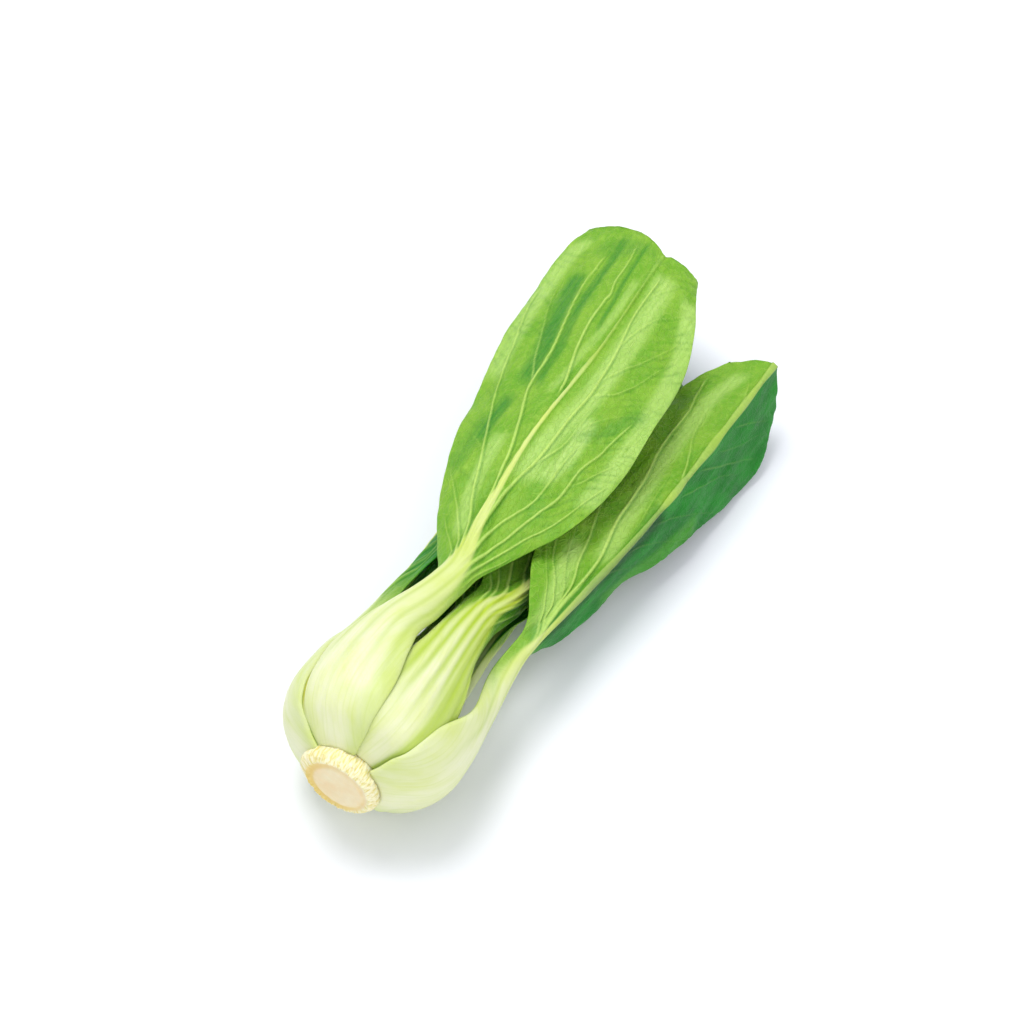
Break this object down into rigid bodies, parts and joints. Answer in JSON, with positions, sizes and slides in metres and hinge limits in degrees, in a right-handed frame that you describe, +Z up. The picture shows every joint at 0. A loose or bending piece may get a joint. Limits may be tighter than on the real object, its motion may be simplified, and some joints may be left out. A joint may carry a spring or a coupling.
{
  "type": "bok choy",
  "caption": "Head of bok choy lying on its side: pale spoon-shaped stalks swell into a bulb round the flat cut stem and run out into broad, ribbed green blades.",
  "frame": {"origin": "the middle of the head's bounding box, at the level of the surface that it lies on", "axes": "+Z is up from the surface; +Y runs along the head from the cut stem towards the tips of the leaves; +X is to the right, seen from above with the tips away from the viewer"},
  "size_m": [0.0954, 0.2476, 0.0608],
  "materials": {
    "stem": null,
    "leaf": null
  },
  "bodies": {
    "root": {"stem": "stem", "leaf_01_left": "leaf", "leaf_02_right": "leaf", "leaf_03_top": "leaf", "leaf_04_under": "leaf", "leaf_05_upper_right": "leaf", "leaf_06_inner_left": "leaf", "leaf_07_inner_right": "leaf", "leaf_08_heart_top": "leaf", "leaf_09_heart_left": "leaf", "leaf_10_heart": "leaf"}
  },
  "joints": []
}
